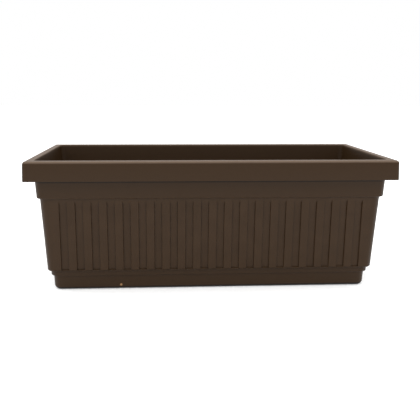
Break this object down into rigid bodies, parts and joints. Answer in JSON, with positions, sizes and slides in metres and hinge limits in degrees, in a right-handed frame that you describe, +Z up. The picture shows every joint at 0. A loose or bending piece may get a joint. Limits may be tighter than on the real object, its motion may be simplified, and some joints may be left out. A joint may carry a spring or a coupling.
{
  "type": "self watering planter",
  "caption": "Long rectangular patio planter with a fluted shell, a raised perforated platform over a water reservoir, a capped fill tube, a float level indicator and a screw drain plug.",
  "frame": {"origin": "middle of the base, on the ground", "axes": "+X along the length, +Y towards the back, +Z up"},
  "size_m": [0.686, 0.292, 0.253],
  "materials": {
    "shell_plastic": "satin moulded polypropylene, fine grain",
    "platform_plastic": "matte moulded polypropylene",
    "basket_plastic": "matte moulded polypropylene",
    "tube_plastic": "satin extruded and moulded plastic",
    "cap_plastic": "satin moulded plastic",
    "clear_plastic": "clear moulded plastic",
    "float_foam": "closed-cell foam",
    "rod_plastic": "extruded rod",
    "tip_plastic": "bright moulded plastic",
    "gasket_rubber": "moulded seal",
    "pin_steel": "stainless pin"
  },
  "bodies": {
    "shell": {"planter_shell": "shell_plastic", "overflow_spout": "cap_plastic"},
    "insert": {"soil_platform": "platform_plastic", "wicking_basket_left": "basket_plastic", "wicking_basket_middle": "basket_plastic", "wicking_basket_right": "basket_plastic", "fill_tube": "tube_plastic", "fill_tube_foot": "tube_plastic", "fill_mouth": "tube_plastic", "fill_cap_pin": "pin_steel", "float_guide_tube": "tube_plastic", "float_guide_foot": "tube_plastic", "sight_cap": "clear_plastic"},
    "cap": {"fill_cap": "cap_plastic"},
    "float": {"indicator_float": "float_foam", "indicator_rod": "rod_plastic", "indicator_tip": "tip_plastic"},
    "gasket": {"drain_gasket": "gasket_rubber"},
    "plug": {"drain_plug": "cap_plastic"}
  },
  "joints": [
    {"name": "insert_liftout", "type": "slide", "parent": "shell", "child": "insert", "axis": [0, 0, 1], "range_m": [0, 0.26]},
    {"name": "cap_hinge", "type": "hinge", "parent": "insert", "child": "cap", "pos_m": [-0.27, -0.046, 0.232], "axis": [-1, 0, 0], "range_deg": [0, 110]},
    {"name": "float_rise", "type": "slide", "parent": "insert", "child": "float", "axis": [0, 0, 1], "range_m": [0, 0.03]},
    {"name": "plug_travel", "type": "slide", "parent": "shell", "child": "gasket", "axis": [0, 1, 0], "range_m": [0, 0.009]},
    {"name": "plug_turn", "type": "hinge", "parent": "gasket", "child": "plug", "pos_m": [0.23, 0.10794, 0.015], "axis": [0, 1, 0], "range_deg": [0, 1080]}
  ],
  "couplings": [
    {"joint": "plug_travel", "follows": "plug_turn", "m_per_rad": 0.00047746}
  ]
}
